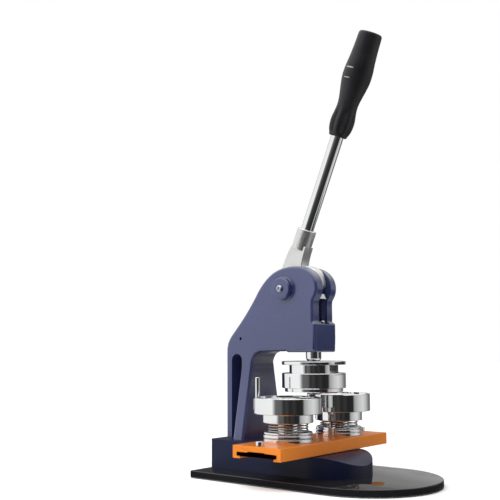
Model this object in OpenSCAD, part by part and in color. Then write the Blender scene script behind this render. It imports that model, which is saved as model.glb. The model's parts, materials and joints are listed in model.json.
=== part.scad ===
// Bench press for making button badges: a C-frame with a lever-driven ram,
// an upper die with a sliding ring, and two lower dies on a cross slide.
// Frame: +Z up, X across the slide, -Y towards the user's side of the lever.
// The origin is on the underside, straight below the ram's axis.

/* [Base plate] */
// Width of the base plate
base_w = 176.3; // [170:0.1:200]
// Distance from the ram axis back to the straight edge
base_back = 125.1; // [125:0.1:140]
// Distance from the ram axis forward to the centre of the round front
base_arc = 71.3; // [60:0.1:90]
// Thickness of the base plate
base_t = 7.5; // [6:0.1:10]
// Thickness of the anti-slip sheet
sheet_t = 1.4; // [1:0.1:2]

/* [Foot casting] */
// Half-width of the foot
foot_hw = 53; // [53:0.1:58]
// Height of the foot's rear block above the bench
foot_top = 44.2; // [44.2:0.1:44.2]
// Height of the table that carries the rail
table_z = 33.4; // [33.4:0.1:33.4]

/* [Frame casting] */
// Width of the head
head_w = 44.5; // [44:0.1:48]
// Width of the slot that the lever works in
slot_w = 17.8; // [17.5:0.1:18.5]
// Height of the slot's floor
slot_z = 186.4; // [186.4:0.1:186.4]
// Half-width of the column's front flange where it meets the foot
flange_hw = 41.5; // [36:0.1:45]
// Thickness of the column's web
web_t = 8; // [6:0.1:12]

/* [Lever] */
// Lean of the handle from upright, towards the user
lever_tilt = 22.85; // [20:0.05:25]
// Distance from the pivot to the handle's own axis
lever_off = 9.6; // [8:0.1:11]
// Distance from the pivot up the handle to its end
lever_len = 329.5; // [310:0.5:340]
// Radius of the rod
rod_r = 8; // [7:0.1:8.5]
// Length of the grip
grip_len = 131; // [120:1:140]

/* [Ram] */
// Distance from the pivot forward to the ram's axis: the base circle of the cam
cam_rb = 28.5; // [28.5:0.1:28.5]
// Radius of the ram
ram_r = 9.5; // [9:0.05:9.5]
// Height of the pressure pad's top face
pad_top = 223.7; // [223.7:0.1:223.7]

/* [Upper die] */
// Radius of the flange and the ring
ring_r = 39.2; // [38:0.1:39.5]
// Radius of the fixed core
core_r = 30; // [29.5:0.1:30.5]

/* [Lower dies] */
// Radius of each cup
cup_r = 40; // [38:0.1:41]
// Distance between the two lower dies
die_pitch = 107.5; // [105:0.1:110]
// Radius of each cup's inner bore
cup_bore_r = 29.3; // [29.3:0.05:29.5]
// Radius of each lower core's face
lower_core_r = 28.95; // [28.5:0.05:28.95]

/* [Cross slide] */
// Length of the slide
slide_len = 227.1; // [220:0.1:235]
// Width of the slide
slide_w = 68.6; // [68.6:0.1:70]
// Height of the slide's top face
slide_top = 48.4; // [48.4:0.1:48.4]

/* [Hidden] */
$fn = 96;

navy = [0.10, 0.13, 0.30];
orange = [0.88, 0.42, 0.10];
chromed = [0.86, 0.87, 0.89];
steel = [0.62, 0.63, 0.65];
black = [0.03, 0.03, 0.035];
cast_silver = [0.74, 0.74, 0.75];
bronze = [0.72, 0.55, 0.28];
e = 0.05;

plate_z = sheet_t + base_t;
pivot = [0, 28.5, 230.3];
near_x = -die_pitch / 2;
far_x = die_pitch / 2;
rim_z = 99.9;
rail_half = 50.7;
web_under = 40.9;
groove_z = 41.9;
base_screw_at = [[-40, 105], [40, 105], [-36, -30], [36, -30]];
flange_bolt_at = [[-27, 88], [27, 88]];
rib_bolt_at = [[-13, 117.5], [13, 117.5]];

// a smooth curve through a few points
function cr(a, b, c, d, t) = 0.5 * (2 * b + (c - a) * t + (2 * a - 5 * b + 4 * c - d) * t * t + (3 * b - a - 3 * c + d) * t * t * t);
function smooth(p, n = 4) = concat([for (i = [0:len(p) - 2]) for (k = [0:n - 1])
    cr(p[max(i - 1, 0)], p[i], p[i + 1], p[min(i + 2, len(p) - 1)], k / n)], [p[len(p) - 1]]);
// an extrusion along X of an outline given as [y, z], centred on X = 0
module along_x(w) rotate([90, 0, 90]) translate([0, 0, -w / 2]) linear_extrude(height = w) children();
module at_pivot() translate(pivot) children();
module in_lever() at_pivot() rotate([lever_tilt, 0, 0]) children();
module rod_axis() in_lever() translate([0, lever_off, 0]) children();
module tube(ro, ri, h) difference() {
    cylinder(r = ro, h = h);
    translate([0, 0, -1]) cylinder(r = ri, h = h + 2);
}
// socket-head screw: under-head face at z = 0, shank downwards
module cap_screw(r, shank, head_r, head_h) difference() {
    union() {
        translate([0, 0, -shank]) cylinder(r = r, h = shank + e);
        cylinder(r = head_r, h = head_h);
    }
    translate([0, 0, head_h * 0.45]) cylinder(r = head_r * 0.5, h = head_h, $fn = 6);
}
// countersunk screw seen from its head: head face at z = 0, shank along -Z
module flat_screw(r, shank, head_r) difference() {
    union() {
        translate([0, 0, -(head_r - r)]) cylinder(r1 = r, r2 = head_r, h = head_r - r);
        translate([0, 0, -shank]) cylinder(r = r, h = shank - (head_r - r) + e);
    }
    translate([0, 0, -1.6]) cylinder(r = head_r * 0.42, h = 3, $fn = 6);
}

// ---------------------------------------------------------------- base
module d_plan(inset) {
    difference() {
        union() {
            translate([-base_w / 2 + inset, -base_arc]) square([base_w - 2 * inset, base_back + base_arc - inset]);
            translate([0, -base_arc]) circle(r = base_w / 2 - inset, $fn = 180);
        }
        // small corner breaks at the straight back edge
        for (s = [-1, 1]) translate([s * base_w / 2, base_back]) rotate(45) square([3, 3], center = true);
    }
}
module base_plate() color(black) difference() {
    union() {
        translate([0, 0, sheet_t]) linear_extrude(height = base_t - 0.7) d_plan(0);
        translate([0, 0, plate_z - 0.7 - e]) linear_extrude(height = 0.7 + e) d_plan(0.7);
    }
    for (p = base_screw_at) translate([p[0], p[1], 0]) {
        cylinder(r = 3.4, h = 20);
        translate([0, 0, sheet_t - 0.01]) cylinder(r1 = 6.6, r2 = 3.4, h = 3.2);
    }
}
module anti_slip_sheet() color([0.16, 0.16, 0.17]) difference() {
    linear_extrude(height = sheet_t) d_plan(0.4);
    for (p = base_screw_at) translate([p[0], p[1], -1]) cylinder(r = 7, h = 4);
}
module base_plate_screws() color(steel)
    for (p = base_screw_at) translate([p[0], p[1], sheet_t + 0.2]) rotate([180, 0, 0]) flat_screw(3, 20, 6);

// ---------------------------------------------------------------- foot
foot_profile = concat([[123.4, plate_z], [123.4, foot_top], [36.5, foot_top], [36.5, table_z], [-33, table_z]],
    [for (a = [2:2.4:32.5]) [-33 - 71 * sin(a), table_z - 71 * (1 - cos(a))]], [[-73, plate_z]]);
module foot_casting() color(navy) difference() {
    intersection() {
        along_x(130) polygon(foot_profile);
        translate([0, 0, 5]) linear_extrude(height = 60) difference() {
            union() {
                translate([-foot_hw, -19]) square([2 * foot_hw, 142.4]);
                translate([0, -19]) circle(r = foot_hw, $fn = 144);
            }
            for (s = [-1, 1]) translate([s * foot_hw, 123.4]) rotate(45) square([4, 4], center = true);
        }
    }
    for (p = base_screw_at) translate([p[0], p[1], 0]) cylinder(r = 3.1, h = 26);
    for (p = flange_bolt_at) translate([p[0], p[1], 0]) {
        cylinder(r = 4.3, h = 60);
        cylinder(r = 7.2, h = 18.5);
    }
    for (p = rib_bolt_at) translate([p[0], p[1], 0]) {
        cylinder(r = 3.3, h = 60);
        cylinder(r = 5.4, h = 18.5);
    }
    for (x = [-32, 0, 32]) translate([x, 0, 20]) cylinder(r = 2.6, h = 40);
}

// ---------------------------------------------------------------- frame casting
head_front = smooth([[-18.2, 184.4], [-18, 186], [-16.9, 187.4], [-15, 188.2], [-14.1, 190], [-14.1, 196], [-14.1, 211], [-15.2, 216],
    [-18.2, 220.8], [-19.9, 226], [-20.3, 232], [-18.8, 239], [-14.6, 246], [-8, 251.6], [1, 255.6], [12, 257.3],
    [24, 257], [36, 254.7], [46, 250.6], [54, 245.3], [61, 238.9], [69, 229.6], [75.5, 220], [83, 209.6],
    [91, 199.3], [99, 189.9], [108, 180], [115.2, 171.9], [119.6, 165.2], [121.9, 157]], 3);
head_outline = concat([[79.5, foot_top], [79.5, 131]],
    smooth([[79.5, 131], [79.1, 137.5], [77.2, 144.3], [73.2, 149.8], [67, 152.9]], 3),
    [[27.2, 153.8], [24.7, 152.2], [-17.2, 152.2], [-18.2, 153.2]], head_front, [[122, 150], [122, foot_top]]);
module recess(s) translate([s * (web_t / 2 + 15), 0, 0]) along_x(30) union() {
    translate([96, 30]) square([17, 111.5]);
    translate([104.5, 141.5]) circle(r = 8.5);
}
module press_frame() color(navy) difference() {
    union() {
        along_x(head_w) polygon(head_outline);
        translate([0, 96, 0]) rotate([90, 0, 0]) linear_extrude(height = 16.5)
            polygon([[-flange_hw, foot_top], [flange_hw, foot_top], [head_w / 2, 145], [-head_w / 2, 145]]);
        for (s = [0, 180]) at_pivot() rotate([0, 90, s]) translate([0, 0, head_w / 2 - e]) {
            cylinder(r = 14, h = 7.2 + e);
            translate([0, 0, 7.2]) cylinder(r1 = 14, r2 = 13.1, h = 0.95);
        }
    }
    recess(-1);
    recess(1);
    translate([-slot_w / 2, -40, slot_z]) cube([slot_w, 100, 90]);
    // ram bore, and the smaller hole its stem comes up through
    translate([0, 0, 140]) cylinder(r = 12.03, h = 41);
    translate([0, 0, 170]) cylinder(r = 6.35, h = 30);
    // pivot bore, closed by the near boss except for the screw's hole
    at_pivot() rotate([0, 90, 0]) {
        translate([0, 0, -26.4]) cylinder(r = 6.03, h = 70);
        translate([0, 0, -40]) cylinder(r = 2.7, h = 20);
    }
    // stroke stop's thread, and the small tapped hole in the near side
    translate([0, -13.4, 180.5]) cylinder(r = 2.1, h = 10);
    translate([-head_w / 2 - 1, 98.2, 169.4]) rotate([0, 90, 0]) cylinder(r = 1.9, h = 11);
    for (p = flange_bolt_at) translate([p[0], p[1], 40]) cylinder(r = 4.1, h = 24);
    for (p = rib_bolt_at) translate([p[0], p[1], 40]) cylinder(r = 3.1, h = 24);
}
module frame_bolts() color(steel) {
    for (p = flange_bolt_at) translate([p[0], p[1], 18.4]) rotate([180, 0, 0]) cap_screw(4, 44, 6.5, 8);
    for (p = rib_bolt_at) translate([p[0], p[1], 18.4]) rotate([180, 0, 0]) cap_screw(3, 44, 5, 6);
}

// ---------------------------------------------------------------- rail and slide
module guide_rail() color(steel) difference() {
    along_x(2 * rail_half) polygon([[-23.6, table_z], [23.6, table_z], [23.6, 37.4], [27.8, 37.4], [27.8, 40.6],
        [-27.8, 40.6], [-27.8, 37.4], [-23.6, 37.4]]);
    for (x = [-32, 0, 32]) translate([x, 0, 30]) {
        cylinder(r = 2.7, h = 20);
        translate([0, 0, 7.9]) cylinder(r1 = 2.7, r2 = 5.5, h = 2.8);
    }
}
module guide_rail_screws() color(steel)
    for (x = [-32, 0, 32]) translate([x, 0, 40.4]) flat_screw(2.5, 19, 5);
slide_half = [[0, slide_top], [34.3, slide_top], [34.3, 34], [23.9, 34], [23.9, 37.1], [28.1, 37.1],
    [28.1, web_under], [12, web_under], [11, groove_z], [0, groove_z]];
module slide_plate() color(orange) difference() {
    along_x(slide_len) polygon(concat(slide_half, [for (i = [len(slide_half) - 2:-1:1]) [-slide_half[i][0], slide_half[i][1]]]));
    for (x = [near_x, far_x]) translate([x, 0, 0]) {
        cylinder(r = 4.3, h = 60);
        translate([0, 0, 41]) cylinder(r1 = 8.8, r2 = 4.3, h = 4.5);
    }
    for (s = [-1, 1]) translate([s * 107.3, 0, 30]) cylinder(r = 2.6, h = 30);
}
module slide_stop_screws() color(chromed)
    for (s = [-1, 1]) translate([s * 107.3, 0, slide_top]) cap_screw(2.5, 10.5, 4.4, 5.6);

// ---------------------------------------------------------------- lower dies
module die_base(x, top) color(chromed) difference() {
    h = top - slide_top;
    translate([x, 0, slide_top]) rotate_extrude($fn = 128) polygon([[0, 0], [29, 0], [29.4, 0.4], [29.4, h * 0.34], [29, h * 0.37],
        [28, h * 0.37], [28, h * 0.43], [29, h * 0.43], [29.4, h * 0.46], [29.4, h * 0.72], [29, h * 0.75], [27.6, h * 0.75],
        [27.6, h * 0.8], [28.6, h * 0.8], [28.6, h - 0.5], [28.1, h], [0, h]]);
    translate([x, 0, 0]) cylinder(r = 4.2, h = 90);
}
module die_core(x, base_top) color(chromed) difference() {
    translate([x, 0, 0]) rotate_extrude($fn = 128) polygon([[0, base_top], [12, base_top], [12, 83.2],
        [lower_core_r - 0.5, 83.2], [lower_core_r, 83.7], [lower_core_r, 87.4], [lower_core_r - 1, 88.4], [20, 88.4], [19, 87.2], [0, 87.2]]);
    translate([x, 0, base_top - 1]) cylinder(r = 4.1, h = 14);
}
module die_screw(x, base_top) color(steel)
    translate([x, 0, 42]) rotate([180, 0, 0]) flat_screw(4, base_top - 42 + 11, 7.8);
module die_spring(x, base_top) color(steel)
    translate([x, 0, base_top]) tube(24, 22.4, 78 - base_top);
module sleeve_body(x, cup_z, neck_z) translate([x, 0, 0]) rotate_extrude($fn = 160)
    polygon([[12.4, 78], [24.6, 78], [24.6, neck_z], [29, neck_z], [29.7, neck_z + 0.7], [29.7, cup_z], [39.2, cup_z],
        [cup_r, cup_z + 0.8], [cup_r, rim_z - 0.6], [cup_r - 0.6, rim_z], [36.8, rim_z], [36.2, 97.3], [cup_bore_r + 0.4, 97.3],
        [cup_bore_r, 96.9], [cup_bore_r, 82.6], [12.4, 82.6]]);
module near_die_base() die_base(near_x, 60.5);
module near_die_core() die_core(near_x, 60.5);
module near_die_screw() die_screw(near_x, 60.5);
module near_die_spring() die_spring(near_x, 60.5);
module near_die_sleeve() color(chromed) difference() {
    union() {
        sleeve_body(near_x, 81.5, 71);
        // lug on the outside of the wall for the upright pin
        difference() {
            union() {
                translate([-57, 43, 84]) cylinder(r = 5, h = 13);
                translate([-62, 34, 84]) cube([10, 9, 13]);
            }
            translate([near_x, 0, 80]) cylinder(r = 33, h = 30);
        }
    }
    translate([-57, 43, 86.5]) cylinder(r = 2.78, h = 20);
}
module near_sleeve_pin() color(chromed) translate([-57, 43, 86.6]) union() {
    cylinder(r = 2.75, h = 35.2);
    translate([0, 0, 35.2]) cylinder(r1 = 2.75, r2 = 2.1, h = 0.7);
}
module far_die_base() die_base(far_x, 59);
module far_die_core() die_core(far_x, 59);
module far_die_screw() die_screw(far_x, 59);
module far_die_spring() die_spring(far_x, 59);
module far_die_sleeve() color(chromed) sleeve_body(far_x, 78.6, 67);

// ---------------------------------------------------------------- ram
module ram() color(chromed) difference() {
    rotate_extrude() polygon([[0, 141.2], [ram_r - 1.4, 141.2], [ram_r, 142.8], [ram_r, 180.2], [ram_r - 0.6, 180.8], [6, 180.8],
        [6, 217], [4, 217], [4, 220.6], [0, 220.6]]);
    translate([0, 0, 140]) cylinder(r = 5.1, h = 26);
}
module ram_bush() color(bronze) translate([0, 0, 152.3]) tube(12, ram_r + 0.05, 28.6);
module ram_pad() color(chromed) difference() {
    translate([-8, -15.4, 217]) cube([16, 24.4, pad_top - 217]);
    translate([0, 0, 216]) cylinder(r = 4.05, h = 4.8);
}
module ram_return_spring() color(steel) translate([0, 0, slot_z]) tube(8.4, 6.9, 217 - slot_z);
module stroke_stop_screw() color(chromed) translate([0, -13.4, slot_z]) cap_screw(2, 5.6, 3.6, 3.7);

// ---------------------------------------------------------------- upper die
module upper_die_flange() color(chromed) difference() {
    translate([0, 0, 137]) rotate_extrude($fn = 160) polygon([[0, 0], [ring_r - 0.5, 0], [ring_r, 0.5], [ring_r, 3.7], [ring_r - 0.5, 4.2], [0, 4.2]]);
    translate([0, 0, 130]) cylinder(r = 5.3, h = 20);
}
module upper_die_core() color(chromed) difference() {
    rotate_extrude($fn = 160) polygon([[0, 114.5], [27.9, 114.5], [28.9, 115.5], [28.9, 119], [core_r, 119], [core_r, 137], [0, 137]]);
    translate([0, 0, 110]) cylinder(r = 5.3, h = 40);
    translate([0, 0, 110]) cylinder(r = 8.6, h = 14.5);
    // four slots, two of which hold the ring's guide screws
    for (a = [20:90:290]) rotate(a) translate([27.8, -2.55, 116.4]) cube([5, 5.1, 30]);
}
module upper_die_screw() color(steel) translate([0, 0, 124.4]) rotate([180, 0, 0]) cap_screw(5, 38, 8.2, 8.6);
module upper_die_ring() color(chromed) difference() {
    rotate_extrude($fn = 160) polygon([[29.4, 104.5], [35.2, 104.5], [35.7, 105], [35.7, 109], [ring_r - 0.5, 109], [ring_r, 109.5],
        [ring_r, 126.4], [ring_r - 0.6, 127], [core_r + 0.06, 127], [core_r + 0.06, 109], [29.4, 109]]);
    for (a = [20, 110]) rotate(a) translate([28, 0, 119]) rotate([0, 90, 0]) cylinder(r = 2.6, h = 14);
}
module upper_die_guide_screws() color(steel) for (a = [20, 110]) rotate(a) translate([0, 0, 119]) rotate([0, 90, 0]) difference() {
    union() {
        translate([0, 0, 28.15]) cylinder(r = 2.2, h = 3);
        translate([0, 0, 30.6]) cylinder(r = 2.5, h = 8.1);
    }
    translate([0, 0, 36]) cylinder(r = 1.3, h = 5, $fn = 6);
}

// ---------------------------------------------------------------- lever
// The nose is an involute of the circle that the ram's axis touches, so it
// pushes the pad straight down, in proportion to the lever's turn.
cam_end = 0.937;
function involute(t) = let (s = 6.3 + cam_rb * t, a = t * 180 / PI) [-cam_rb * cos(a) - s * sin(a), cam_rb * sin(a) - s * cos(a)];
cam_outline = concat([[-17.6, -5.9]], [for (i = [0:24]) involute(cam_end * i / 24)],
    [for (a = [172.5:-3:160]) [43.6 * cos(a), 43.6 * sin(a)]],
    smooth([[-41, 14.9], [-38.4, 20], [-34.4, 24], [-29, 26.8], [-22.5, 28.7], [-15.8, 31.6]], 3), [[0, 30], [0, 0]]);
neck_outline = concat([[0, 0], [-8, 18]], smooth([[-6.6, 28.2], [-5.2, 31.5], [-4.2, 35.5], [-3.3, 40], [-2.7, 45], [-2.4, 51], [-2.3, 57]], 3),
    smooth([[17.6, 57], [20.4, 50], [22, 40], [22.9, 28], [22.8, 16], [20.6, 3], [17, -8.8]], 3));
module lever_casting() color(cast_silver) difference() {
    union() {
        at_pivot() along_x(16.5) difference() {
            union() {
                polygon(cam_outline);
                circle(r = 19.2);
                rotate(lever_tilt) polygon(neck_outline);
            }
            circle(r = 8.03);
        }
        rod_axis() translate([0, 0, 50.5]) {
            cylinder(r = 12, h = 25.8);
            translate([0, 0, 25.8]) cylinder(r1 = 12, r2 = 11, h = 0.9);
        }
    }
    rod_axis() translate([0, 0, 53]) cylinder(r = rod_r + 0.03, h = 40);
    rod_axis() translate([0, 0, 66]) rotate([-90, 0, 0]) cylinder(r = 3.05, h = 20);
}
module lever_bush() color(bronze) at_pivot() rotate([0, 90, 0]) translate([0, 0, -8.2]) tube(8, 6.05, 16.4);
module lever_rod() color(chromed) rod_axis() translate([0, 0, 53.2]) union() {
    cylinder(r = rod_r, h = 250);
    translate([0, 0, 250]) cylinder(r1 = rod_r, r2 = rod_r - 1, h = 1);
}
grip_z = lever_len - grip_len;
grip_side = smooth([[11.9, 3], [14, 8], [15.1, 15], [15.1, 22], [13.9, 30], [12.8, 38], [13.2, 46], [15, 56], [16.9, 66], [17.9, 75],
    [17.6, 86], [16.3, 98], [15.2, 112], [14.5, 124]], 2);
module lever_grip() color([0.05, 0.05, 0.055]) rod_axis() translate([0, 0, grip_z]) difference() {
    rotate_extrude() polygon(concat([[0, 0], [9.4, 0], [10.2, 0.8]], grip_side, [[14.3, grip_len - 1.2], [13.2, grip_len], [0, grip_len]]));
    translate([0, 0, -1]) cylinder(r = rod_r + 0.03, h = 54.4 + 251 - grip_z);
}
module lever_set_screw() color(steel) rod_axis() translate([0, 0, 66]) rotate([-90, 0, 0]) difference() {
    translate([0, 0, rod_r + 0.1]) cylinder(r = 3, h = 3.6);
    translate([0, 0, rod_r + 2]) cylinder(r = 1.5, h = 5, $fn = 6);
}

// ---------------------------------------------------------------- pivot
module pivot_pin() color(steel) at_pivot() rotate([0, 90, 0]) difference() {
    translate([0, 0, -26.2]) cylinder(r = 6, h = 56.4);
    for (s = [-1, 1]) translate([0, 0, s > 0 ? 18 : -30]) cylinder(r = 2.6, h = 14);
}
module pivot_pin_screws() color(chromed) at_pivot() {
    rotate([0, -90, 0]) translate([0, 0, 30.4]) cap_screw(2.5, 13, 4.2, 2.8);
    rotate([0, 90, 0]) translate([0, 0, 31.9]) cap_screw(2.5, 13, 4.2, 2.8);
}
module pivot_washer() color(steel) at_pivot() rotate([0, 90, 0]) translate([0, 0, 30.4]) tube(9, 2.7, 1.5);

base_plate();
anti_slip_sheet();
base_plate_screws();
foot_casting();
press_frame();
frame_bolts();
guide_rail();
guide_rail_screws();
slide_plate();
slide_stop_screws();
near_die_base();
near_die_core();
near_die_screw();
near_die_spring();
near_die_sleeve();
near_sleeve_pin();
far_die_base();
far_die_core();
far_die_screw();
far_die_spring();
far_die_sleeve();
ram();
ram_bush();
ram_pad();
ram_return_spring();
stroke_stop_screw();
upper_die_flange();
upper_die_core();
upper_die_screw();
upper_die_ring();
upper_die_guide_screws();
lever_casting();
lever_bush();
lever_rod();
lever_grip();
lever_set_screw();
pivot_pin();
pivot_pin_screws();
pivot_washer();
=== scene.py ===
import json
import math

import bmesh
import bpy
import numpy as np
from mathutils import Matrix, Vector


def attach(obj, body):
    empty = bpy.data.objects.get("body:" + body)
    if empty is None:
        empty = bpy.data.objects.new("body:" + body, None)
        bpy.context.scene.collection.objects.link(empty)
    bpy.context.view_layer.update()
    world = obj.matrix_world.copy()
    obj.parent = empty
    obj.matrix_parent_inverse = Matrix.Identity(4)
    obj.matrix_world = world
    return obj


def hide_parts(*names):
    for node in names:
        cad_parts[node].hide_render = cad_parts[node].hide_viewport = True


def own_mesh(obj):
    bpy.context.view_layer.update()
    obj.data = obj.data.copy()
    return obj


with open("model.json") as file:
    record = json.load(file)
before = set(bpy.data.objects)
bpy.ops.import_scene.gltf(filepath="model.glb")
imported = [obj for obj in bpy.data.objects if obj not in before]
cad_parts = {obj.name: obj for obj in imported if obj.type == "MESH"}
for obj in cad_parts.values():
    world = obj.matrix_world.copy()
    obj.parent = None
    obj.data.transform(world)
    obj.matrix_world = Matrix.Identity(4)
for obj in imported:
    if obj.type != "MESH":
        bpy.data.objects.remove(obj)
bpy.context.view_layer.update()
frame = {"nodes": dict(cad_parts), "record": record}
NODES = frame["nodes"]
scene = bpy.context.scene
MM = 0.001
PIVOT = (0.0, 28.5, 230.3)
TILT = math.radians(22.85)
OFF = 9.6

# ------------------------------------------------------------------ camera


def make_camera():
    a, e, roll = math.radians(-50.762), math.radians(-6.728), math.radians(-0.181)
    back = Vector((math.sin(a) * math.cos(e), -math.cos(a) * math.cos(e), math.sin(e)))
    right = Vector((math.cos(a), math.sin(a), 0))
    up = back.cross(right)
    r2 = right * math.cos(roll) + up * math.sin(roll)
    u2 = up * math.cos(roll) - right * math.sin(roll)
    cam = bpy.data.objects.new("camera", bpy.data.cameras.new("camera"))
    scene.collection.objects.link(cam)
    cam.data.sensor_width = 36.0
    cam.data.lens = 36.0 * 825.92 / 500.0
    cam.data.clip_start, cam.data.clip_end = 0.05, 60
    m = Matrix((r2, u2, back)).transposed().to_4x4()
    m.translation = Vector((-0.843188, -0.587980, 0.158175))
    cam.matrix_world = m
    scene.camera = cam
    return cam


camera = make_camera()

# ------------------------------------------------------------------ mesh helpers


def link(me, name):
    ob = bpy.data.objects.new(name, me)
    scene.collection.objects.link(ob)
    return ob


def from_bm(bm, name, angle=32):
    bmesh.ops.remove_doubles(bm, verts=bm.verts, dist=2e-7)
    bmesh.ops.dissolve_degenerate(bm, edges=bm.edges, dist=1e-7)
    bmesh.ops.recalc_face_normals(bm, faces=bm.faces)
    me = bpy.data.meshes.new(name)
    bm.to_mesh(me)
    bm.free()
    return shade(link(me, name), angle)


def shade(ob, angle=32):
    ob.data.shade_smooth()
    ob.data.set_sharp_from_angle(angle=math.radians(angle))
    return ob


def mesh(name, verts, faces, angle=32):
    """verts in millimetres"""
    bm = bmesh.new()
    vs = [bm.verts.new((v[0] * MM, v[1] * MM, v[2] * MM)) for v in verts]
    for f in faces:
        q = []
        for i in f:
            if not q or vs[i] is not q[-1]:
                q.append(vs[i])
        if len(set(q)) < 3:
            continue
        try:
            bm.faces.new(q)
        except ValueError:
            pass
    return from_bm(bm, name, angle)


def baked(ob):
    """applies the modifiers"""
    bpy.context.view_layer.update()
    dg = bpy.context.evaluated_depsgraph_get()
    me = bpy.data.meshes.new_from_object(ob.evaluated_get(dg))
    ob.modifiers.clear()
    ob.data = me
    return ob


def drop(*obs):
    for o in obs:
        bpy.data.objects.remove(o)


def boolean(ob, other, op="DIFFERENCE", keep=False):
    m = ob.modifiers.new("b", "BOOLEAN")
    m.operation, m.object, m.solver = op, other, "EXACT"
    baked(ob)
    if not keep:
        drop(other)
    return ob


def bevel(ob, width, seg=2, angle=40, clamp=True, shade_angle=40):
    m = ob.modifiers.new("bev", "BEVEL")
    m.width, m.segments, m.limit_method, m.angle_limit = width * MM, seg, "ANGLE", math.radians(angle)
    m.use_clamp_overlap = clamp
    m.miter_outer = "MITER_ARC"
    baked(ob)
    return shade(ob, shade_angle)


def weighted(ob):
    m = ob.modifiers.new("wn", "WEIGHTED_NORMAL")
    m.keep_sharp, m.weight, m.mode = True, 60, "FACE_AREA"
    return ob


def cr(a, b, c, d, t):
    return 0.5 * (2 * b + (c - a) * t + (2 * a - 5 * b + 4 * c - d) * t * t + (3 * b - a - 3 * c + d) * t**3)


def smooth(pts, n=4):
    p = [np.array(q, float) for q in pts]
    out = []
    for i in range(len(p) - 1):
        for k in range(n):
            out.append(tuple(cr(p[max(i - 1, 0)], p[i], p[i + 1], p[min(i + 2, len(p) - 1)], k / n)))
    return out + [tuple(p[-1])]


def fillet(pts, radii, n=4, closed=True):
    """rounds the corners of a 2D outline; radii is one number or a list"""
    out, m = [], len(pts)
    for i, p in enumerate(pts):
        r = radii if not isinstance(radii, (list, tuple)) else radii[i]
        if r <= 0 or (not closed and i in (0, m - 1)):
            out.append(tuple(p))
            continue
        p = np.array(p, float)
        a, b = np.array(pts[i - 1], float) - p, np.array(pts[(i + 1) % m], float) - p
        la, lb = np.linalg.norm(a), np.linalg.norm(b)
        if la < 1e-6 or lb < 1e-6:
            out.append(tuple(p))
            continue
        a, b = a / la, b / lb
        cosang = float(np.clip(a @ b, -1, 1))
        half = math.acos(cosang) / 2
        if half > math.radians(86):
            out.append(tuple(p))
            continue
        t = min(r / math.tan(half), la * 0.48, lb * 0.48)
        r = t * math.tan(half)
        c = p + (a + b) / np.linalg.norm(a + b) * (r / math.sin(half))
        s, f = p + a * t, p + b * t
        a0 = math.atan2(*(s - c)[::-1])
        a1 = math.atan2(*(f - c)[::-1])
        d = (a1 - a0 + math.pi) % (2 * math.pi) - math.pi
        for k in range(n + 1):
            an = a0 + d * k / n
            out.append((c[0] + r * math.cos(an), c[1] + r * math.sin(an)))
    return out


def inset(outline, d):
    """moves a closed counter-clockwise outline inwards by d"""
    p = np.array(outline, float)
    e = np.roll(p, -1, 0) - p
    e /= np.maximum(np.linalg.norm(e, axis=1), 1e-9)[:, None]
    nrm = np.stack([-e[:, 1], e[:, 0]], 1)
    prev = np.roll(nrm, 1, 0)
    m = prev + nrm
    m /= np.maximum(np.linalg.norm(m, axis=1), 1e-9)[:, None]
    k = 1 / np.clip((m * nrm).sum(1), 0.5, 1)
    return p + m * (d * k)[:, None]


def ccw(outline):
    p = np.array(outline, float)
    q = np.roll(p, -1, 0)
    return outline if (p[:, 0] * q[:, 1] - q[:, 0] * p[:, 1]).sum() > 0 else outline[::-1]


def prism(name, outline, h0, h1, r0=0.0, r1=0.0, axis="z", n=4, angle=32, holes=()):
    """extrudes an outline from h0 to h1 with rounded ends of radius r0 and r1; axis x takes (y, z) outlines, y takes (x, z)"""
    out = ccw(list(outline))
    rings = []
    if r0 > 0:
        rings += [(r0 * (1 - math.cos(math.pi / 2 * (1 - k / n))) if False else r0 * (1 - math.sin(math.pi / 2 * k / n)), h0 + r0 * (1 - math.cos(math.pi / 2 * k / n))) for k in range(n + 1)]
    else:
        rings += [(0, h0)]
    if r1 > 0:
        rings += [(r1 * (1 - math.cos(math.pi / 2 * k / n)), h1 - r1 * (1 - math.sin(math.pi / 2 * k / n))) for k in range(n + 1)]
    else:
        rings += [(0, h1)]
    put = {"z": lambda a, b, h: (a, b, h), "x": lambda a, b, h: (h, a, b), "y": lambda a, b, h: (a, h, b)}[axis]
    verts, faces, m = [], [], len(out)
    for d, h in rings:
        for a, b in inset(out, d) if d > 1e-9 else out:
            verts.append(put(a, b, h))
    for r in range(len(rings) - 1):
        for i in range(m):
            j = (i + 1) % m
            faces.append((r * m + i, r * m + j, (r + 1) * m + j, (r + 1) * m + i))
    faces.append(tuple(range(m))[::-1])
    faces.append(tuple((len(rings) - 1) * m + i for i in range(m)))
    return mesh(name, verts, faces, angle)


def lathe(name, prof, seg=128, centre=(0, 0), closed=False, matrix=None, angle=32):
    """turns a profile of (radius, height) about Z; points at radius 0 close on the axis"""
    verts, faces, idx = [], [], []
    for r, z in prof:
        if r < 1e-6:
            idx.append([len(verts)] * seg)
            verts.append((centre[0], centre[1], z))
        else:
            idx.append(list(range(len(verts), len(verts) + seg)))
            for k in range(seg):
                a = 2 * math.pi * k / seg
                verts.append((centre[0] + r * math.cos(a), centre[1] + r * math.sin(a), z))
    pairs = list(zip(range(len(prof) - 1), range(1, len(prof))))
    if closed:
        pairs.append((len(prof) - 1, 0))
    for a, b in pairs:
        if prof[a][0] < 1e-6 and prof[b][0] < 1e-6:
            continue
        for k in range(seg):
            j = (k + 1) % seg
            f = [idx[a][k], idx[a][j], idx[b][j], idx[b][k]]
            g = []
            for v in f:
                if v not in g:
                    g.append(v)
            faces.append(tuple(g))
    if matrix is not None:
        verts = [tuple(matrix @ Vector(v)) for v in verts]
    return mesh(name, verts, faces, angle)


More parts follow.
